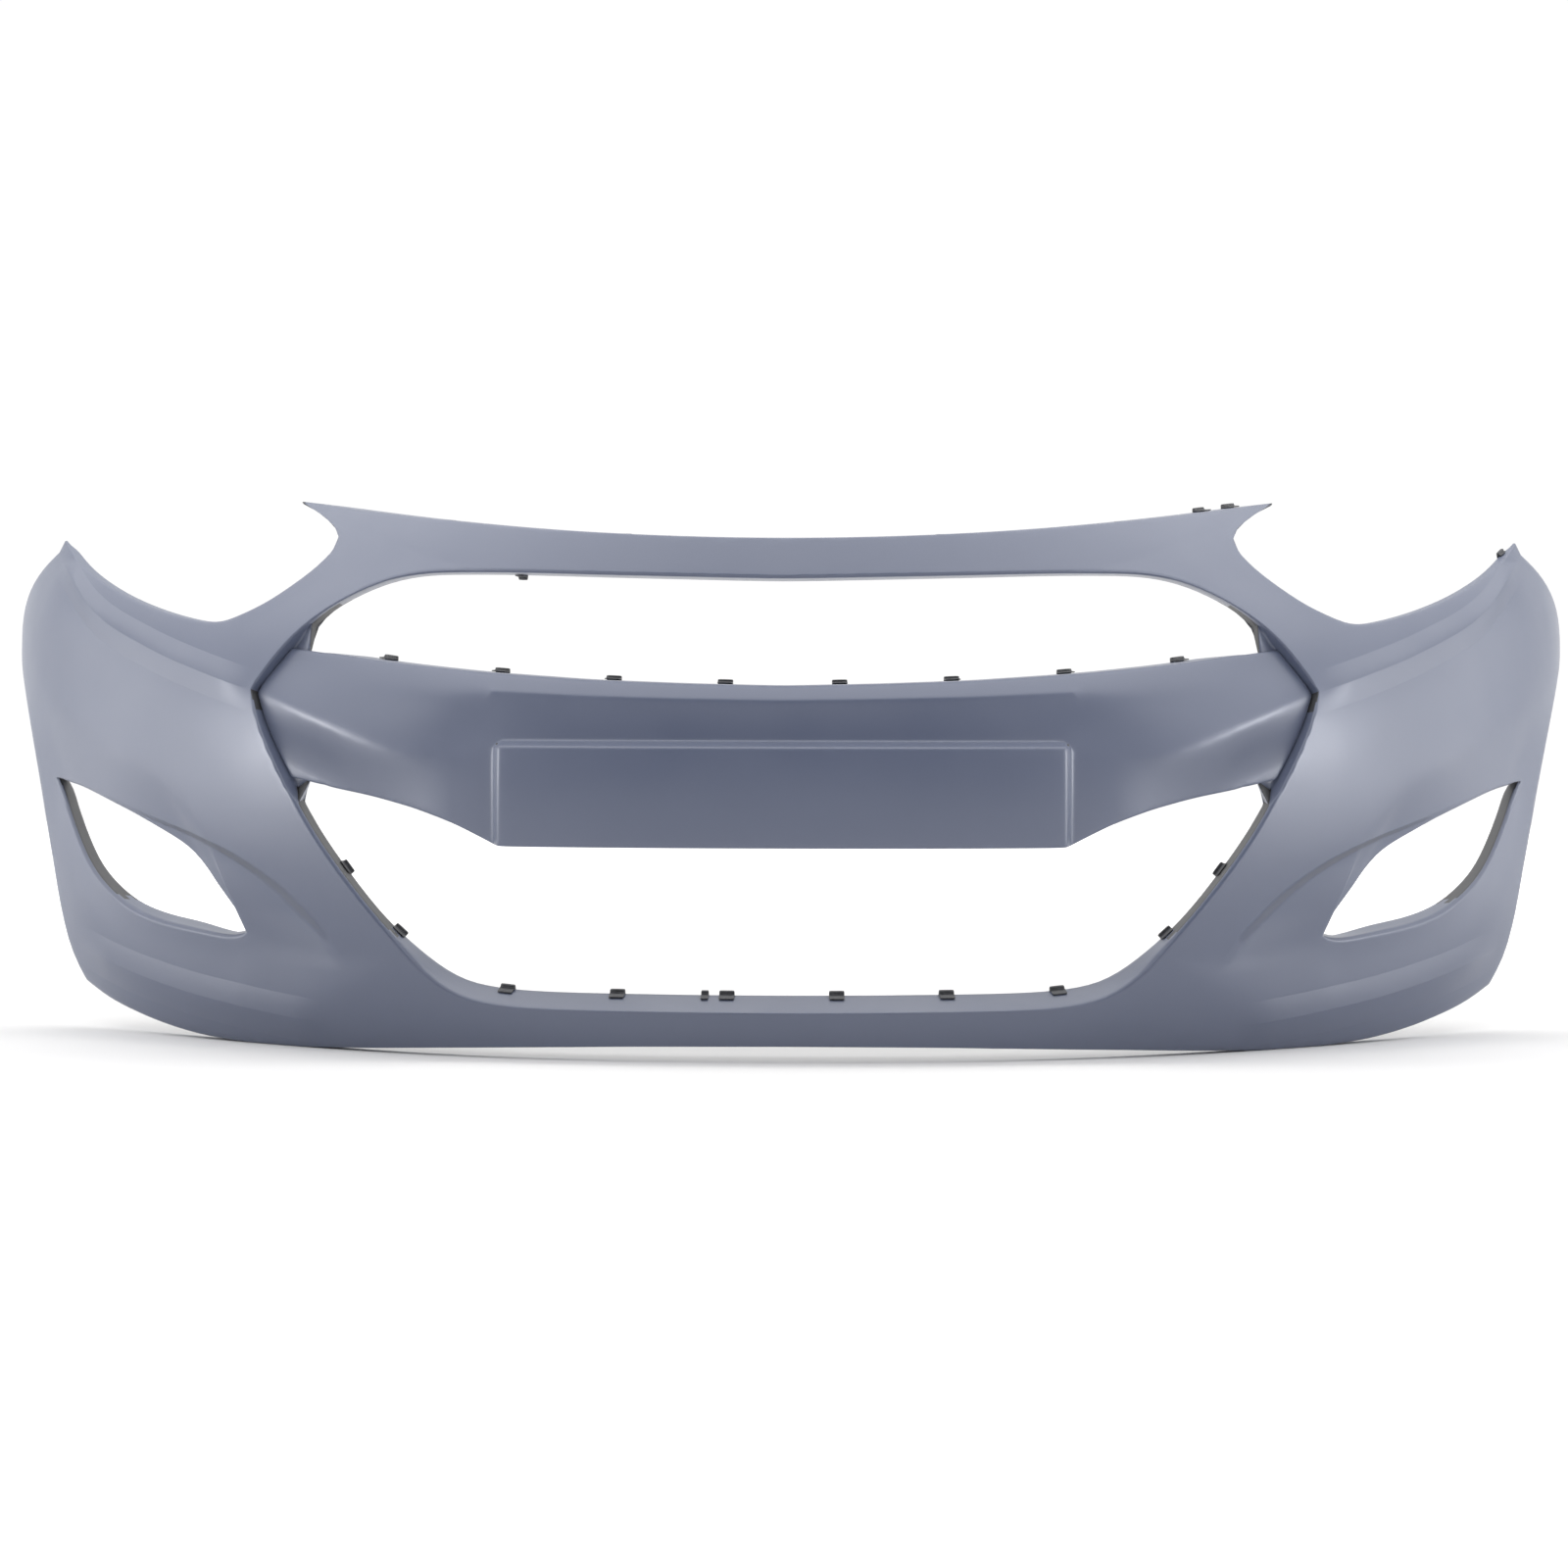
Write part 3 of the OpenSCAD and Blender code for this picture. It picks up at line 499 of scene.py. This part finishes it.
@dataclass(frozen=True)
class FloorFinish:
    """Matte white studio floor, which glows a little far from its middle.

    Attributes:
        name: Name of the material.
        colour: Colour of the floor.
        lift: How much paler its clouds are.
        clouds: Scale and detail of the clouds.
        roughness: Roughness.
        glow_centre: Point that the glow spreads from, in metres.
        plain_to: Distance up to which the floor has no glow, in metres.
        glow_from: Distance from which it glows in full, in metres.
        far_glow: Strength of the full glow.
        grain: Fine relief of the surface.
    """

    name: str = "studio_floor"
    colour: tuple[float, float, float] = (0.86, 0.855, 0.85)
    lift: float = 1.02
    clouds: tuple[float, float] = (1.5, 3.0)
    roughness: float = 0.75
    glow_centre: tuple[float, float, float] = (0.0, 0.2, 0.0)
    plain_to: float = 0.75
    glow_from: float = 2.2
    far_glow: float = 0.7
    grain: Grain = Grain(90.0, 0.2 * MM, 0.1, detail=3.0)

    def make(self) -> bpy.types.Material:
        """Builds the material.

        Returns:
            The finished material.
        """
        tree = NodeTree(self.name)
        pale = tuple(min(1.0, c * self.lift) for c in self.colour)
        tint = tree.blend(tree.spread(tree.noise(*self.clouds), 0.0, 1.0), self.colour, pale)
        glow = tree.scale(tree.distance(self.glow_centre), self.plain_to, self.glow_from,
                          0.0, self.far_glow)
        tree.join(tint, tree.shader.inputs["Base Color"])
        tree.join(tint, tree.shader.inputs["Emission Color"])
        tree.join(glow, tree.shader.inputs["Emission Strength"])
        tree.shader.inputs["Roughness"].default_value = self.roughness
        self.grain.add(tree)
        return tree.material


@dataclass
class Moulding:
    """A moulded piece that follows a node of the frame, with its edges eased and faired.

    Attributes:
        node: Name of the frame's node.
        group: Group of the piece, named after its material; not used.
        edge: Width of the eased edges, in metres.
        levels: How often the skin between the edges is faired.
        sharp: Angle above which an edge counts as a feature, in degrees.
        weld: Distance within which corners are one, in metres.
        flat: Angle up to which two triangles join to a face, in degrees.
        skew: How far the corners of such a face may be off square, in degrees.
    """

    node: str
    group: Group
    edge: float = 0.9 * MM
    levels: int = 1
    sharp: float = 32.0
    weld: float = 0.02 * MM
    flat: float = 35.0
    skew: float = 60.0

    def copy(self) -> bpy.types.Object:
        """Copies the node's mesh into a new piece and joins its loose triangles.

        Returns:
            The new piece.
        """
        bpy.ops.object.select_all(action="DESELECT")
        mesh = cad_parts[self.node].data.copy()
        mesh.materials.clear()
        piece = bpy.data.objects.new(f"{self.node}_skin", mesh)
        bpy.context.scene.collection.objects.link(piece)
        bpy.context.view_layer.objects.active = piece
        piece.select_set(True)
        bpy.ops.object.mode_set(mode="EDIT")
        bpy.ops.mesh.select_all(action="SELECT")
        bpy.ops.mesh.customdata_custom_splitnormals_clear()
        bpy.ops.mesh.remove_doubles(threshold=self.weld)
        bpy.ops.mesh.tris_convert_to_quads(face_threshold=math.radians(self.flat),
                                           shape_threshold=math.radians(self.skew))
        bpy.ops.object.mode_set(mode="OBJECT")
        return piece

    def ease(self, piece: bpy.types.Object) -> None:
        """Rounds the feature edges a little and fairs the skin between them.

        Args:
            piece: The piece to finish.
        """
        bevel = piece.modifiers.new("eased_edges", "BEVEL")
        bevel.width = self.edge
        bevel.segments = 1
        bevel.limit_method = "ANGLE"
        bevel.angle_limit = math.radians(self.sharp)
        bevel.use_clamp_overlap = True
        fair = piece.modifiers.new("faired", "SUBSURF")
        fair.levels = self.levels
        fair.render_levels = self.levels
        for name in ("eased_edges", "faired"):
            bpy.ops.object.modifier_apply(modifier=name)
        bpy.ops.object.shade_smooth()

    def dress(self, piece: bpy.types.Object, material: bpy.types.Material) -> None:
        """Gives the piece its finish."""
        piece.data.materials.append(material)

    def build(self, material: bpy.types.Material) -> bpy.types.Object:
        """Makes the piece, dresses it and puts it in the place of its node.

        Args:
            material: Finish of the piece.

        Returns:
            The finished piece.
        """
        piece = self.copy()
        self.ease(piece)
        self.dress(piece, material)
        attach(piece, "root")
        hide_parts(self.node)
        log.info("%s: %d faces", piece.name, len(piece.data.polygons))
        return piece


@dataclass
class PaintedMoulding(Moulding):
    """A moulding with primer on the outside only, and dark unprimed plastic on faces that look inwards,
    which is painted shade where they are walls seen from the front.

    Attributes:
        bow_centre: Depth at which the middle of the cover's bow lies, in metres.
        bare_and_shade_share: How far a face must look inwards to be marked, 0 to 1.
    """

    bow_centre: float = 0.3
    bare_and_shade_share: float = 0.3

    def dress(self, piece: bpy.types.Object, material: bpy.types.Material) -> None:
        """Marks the faces that look towards the inside of the car, then gives the finish. The marks take in
        the back of the piece and the inward walls of pockets and steps seen from the front, where the dark
        plastic is painted shade.

        Args:
            piece: The piece to dress.
            material: Its finish, which shows dark unprimed plastic on the marked faces.
        """
        # Faces that look inwards get dark plastic: real on the back, painted shade on inward walls seen
        # from the front.
        marks = piece.data.attributes.new(BARE_AND_SHADE, "FLOAT", "FACE")
        for face in piece.data.polygons:
            outward = Vector((face.center.x, face.center.y - self.bow_centre, 0.0)).normalized()
            inwards = face.normal.dot(outward) < -self.bare_and_shade_share
            marks.data[face.index].value = 1.0 if inwards else 0.0
        super().dress(piece, material)


@dataclass
class CoverShell(PaintedMoulding):
    """The shell: top rail, wings, surround, fog-lamp pockets and lip, in one piece."""

    node: str = "cover_shell"
    group: Group = Group.SHELL

    def finish(self) -> bpy.types.Material:
        """Primer with the brows, the wing creases and the crease above the lip."""
        return PrimerFinish("shell_primer", lines=(BROW, WING_CREASE, LIP_CREASE)).make()


@dataclass
class CentreBar(PaintedMoulding):
    """The bar between the two grille openings, with the plate pad."""

    node: str = "centre_bar"
    group: Group = Group.BAR
    levels: int = 2

    def finish(self) -> bpy.types.Material:
        """Primer with the crease along the arms and the rolled band along the top."""
        return PrimerFinish("bar_primer", lines=(BAR_CREASE, BAR_BAND)).make()


@dataclass
class EdgeClip(Moulding):
    """A spring clip or catch pushed over the edge of a flange."""

    group: Group = Group.CLIP
    edge: float = 0.3 * MM

    @staticmethod
    def nodes() -> list[str]:
        """Names of the frame's clips and catches."""
        return [name for name in sorted(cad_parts) if "clip" in name or "catch" in name]


class Side(Enum):
    """Sides of the cover, with the sign of their X, in the order in which lights are set."""

    LEFT = -1
    RIGHT = 1


@dataclass(frozen=True)
class Softbox:
    """A rectangular soft light.

    Attributes:
        name: Name of the light, without its side.
        place: Where it stands on the right or in the middle, in metres.
        aim: The point that it faces, in metres.
        size: Its width and height, in metres.
        power: Its power, in watts.
        reflected_only: True if only reflections show it.
    """

    name: str
    place: tuple[float, float, float]
    aim: tuple[float, float, float]
    size: tuple[float, float]
    power: float
    reflected_only: bool = False

    def on_side(self, side: Side) -> "Softbox":
        """The same light on one side of the cover.

        Args:
            side: The side to put it on.

        Returns:
            The light, named after its side.
        """
        return replace(self, name=f"{self.name}_{side.name.lower()}",
                       place=(side.value * self.place[0], *self.place[1:]),
                       aim=(side.value * self.aim[0], *self.aim[1:]))

    def build(self) -> bpy.types.Object:
        """Makes the light.

        Returns:
            The light.
        """
        data = bpy.data.lights.new(self.name, "AREA")
        data.shape = "RECTANGLE"
        data.size, data.size_y = self.size
        data.energy = self.power
        lamp = bpy.data.objects.new(self.name, data)
        lamp.location = self.place
        towards = Vector(self.aim) - Vector(self.place)
        lamp.rotation_euler = towards.to_track_quat("-Z", "Y").to_euler()
        lamp.visible_diffuse = not self.reflected_only
        bpy.context.scene.collection.objects.link(lamp)
        return lamp


SIDE_LIGHT = Softbox(name="softbox", place=(2.6, 0.25, 0.6), aim=(0.5, 0.0, 0.3),
                     size=(1.4, 1.2), power=10.0)
STRIP_LIGHT = Softbox(name="strip", place=(2.5, -1.1, 0.7), aim=(0.46, -0.15, 0.32),
                      size=(1.1, 1.0), power=34.0, reflected_only=True)
TOP_LIGHT = Softbox(name="softbox_top", place=(0.0, -0.2, 3.0), aim=(0.0, -0.2, 0.0),
                    size=(7.0, 5.0), power=165.0)


@dataclass
class Studio:
    """Pale floor, soft lights and the camera.

    Attributes:
        floor_size: Width and depth of the floor, in metres.
        floor_cells: Number of cells along each side of the floor.
        sensor: Width of the camera's sensor, in millimetres.
        focal_share: Focal length as a share of that width.
        far: Farthest distance that the camera shows, in metres.
        camera_side: How far the camera stands off the middle, in metres.
        camera_away: How far it stands in front of the piece, in metres.
        camera_height: How high it stands, in metres.
        camera_turn: Its yaw, pitch and roll, in degrees.
        surround_glow: Strength of the pale surroundings.
        surround_fill: Share of them that lights matte surfaces.
        dark_glow: Strength of the dark room on the viewer's side.
        dark_until: Depth share of a direction up to which the room is dark.
        pale_from: Depth share from which the surroundings are pale.
    """

    floor_size: float = 9.0
    floor_cells: int = 24
    sensor: float = 36.0
    focal_share: float = 2.596875
    far: float = 100.0
    camera_side: float = 0.052
    camera_away: float = 3.648
    camera_height: float = 0.387
    camera_turn: tuple[float, float, float] = (-0.78, -2.08, 0.12)
    surround_glow: float = 1.02
    surround_fill: float = 0.5
    dark_glow: float = 0.04
    dark_until: float = -0.97
    pale_from: float = -0.3

    def floor(self) -> bpy.types.Object:
        """Makes the floor.

        Returns:
            The floor.
        """
        bpy.ops.object.select_all(action="DESELECT")
        bpy.ops.mesh.primitive_grid_add(x_subdivisions=self.floor_cells,
                                        y_subdivisions=self.floor_cells, size=self.floor_size)
        sheet = bpy.context.object
        sheet.name = "studio_floor"
        sheet.data.materials.append(FloorFinish().make())
        bpy.ops.object.shade_smooth()
        sheet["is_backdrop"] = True
        return sheet

    def surroundings(self) -> None:
        """Sets surroundings that are pale on all sides but the viewer's, where the room is dark."""
        world = bpy.data.worlds.new("surroundings")
        world.use_nodes = True
        nodes, links = world.node_tree.nodes, world.node_tree.links
        ground = next(n for n in nodes if n.type == "BACKGROUND")
        ground.inputs["Color"].default_value = (1.0, 1.0, 1.0, 1.0)
        facing = nodes.new("ShaderNodeSeparateXYZ")
        links.new(nodes.new("ShaderNodeTexCoord").outputs["Generated"], facing.inputs["Vector"])
        room = nodes.new("ShaderNodeMapRange")
        room.interpolation_type = "SMOOTHSTEP"
        for name, value in (("From Min", self.dark_until), ("From Max", self.pale_from),
                            ("To Min", self.dark_glow), ("To Max", self.surround_glow)):
            room.inputs[name].default_value = value
        links.new(facing.outputs["Y"], room.inputs["Value"])
        path = nodes.new("ShaderNodeLightPath")
        dim = nodes.new("ShaderNodeMapRange")
        dim.inputs["To Min"].default_value = 1.0
        dim.inputs["To Max"].default_value = self.surround_fill
        links.new(path.outputs["Is Diffuse Ray"], dim.inputs["Value"])
        lit = nodes.new("ShaderNodeMath")
        lit.operation = "MULTIPLY"
        links.new(room.outputs["Result"], lit.inputs[0])
        links.new(dim.outputs["Result"], lit.inputs[1])
        seen = nodes.new("ShaderNodeMix")
        seen.inputs["B"].default_value = self.surround_glow
        links.new(path.outputs["Is Camera Ray"], seen.inputs["Factor"])
        links.new(lit.outputs["Value"], seen.inputs["A"])
        links.new(seen.outputs["Result"], ground.inputs["Strength"])
        bpy.context.scene.world = world

    def lights(self) -> None:
        """Sets the soft lights."""
        for side in Side:
            SIDE_LIGHT.on_side(side).build()
            STRIP_LIGHT.on_side(side).build()
        TOP_LIGHT.build()

    def camera(self) -> bpy.types.Object:
        """Places the camera at the viewing point.

        Returns:
            The camera.
        """
        yaw, pitch, roll = (math.radians(t) for t in self.camera_turn)
        level = math.cos(pitch)
        ahead = Vector((math.sin(yaw) * level, math.cos(yaw) * level, math.sin(pitch)))
        right = Vector((math.cos(yaw), -math.sin(yaw), 0.0))
        up = right.cross(ahead)
        tilted_right = right * math.cos(roll) + up * math.sin(roll)
        tilted_up = up * math.cos(roll) - right * math.sin(roll)
        turn = Matrix((tilted_right, tilted_up, -ahead)).transposed()
        data = bpy.data.cameras.new("camera")
        data.sensor_width = self.sensor
        data.lens = self.sensor * self.focal_share
        data.clip_end = self.far
        camera = bpy.data.objects.new("camera", data)
        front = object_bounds()[0].y
        camera.location = (self.camera_side, front - self.camera_away, self.camera_height)
        camera.rotation_euler = turn.to_euler()
        bpy.context.scene.collection.objects.link(camera)
        bpy.context.scene.camera = camera
        return camera

    def build(self) -> None:
        """Sets up the floor, the lights and the camera."""
        self.floor()
        self.surroundings()
        self.lights()
        self.camera()
        bpy.context.scene.view_settings.view_transform = "Standard"


def main() -> None:
    """Builds the studio and every piece of the cover."""
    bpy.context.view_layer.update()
    Studio().build()
    shell, bar = CoverShell(), CentreBar()
    shell_primer, bar_primer = shell.finish(), bar.finish()
    shell.build(shell_primer)
    bar.build(bar_primer)
    clip_material = ClipFinish().make()
    for name in EdgeClip.nodes():
        EdgeClip(name).build(clip_material)


if __name__ == "__main__":
    main()
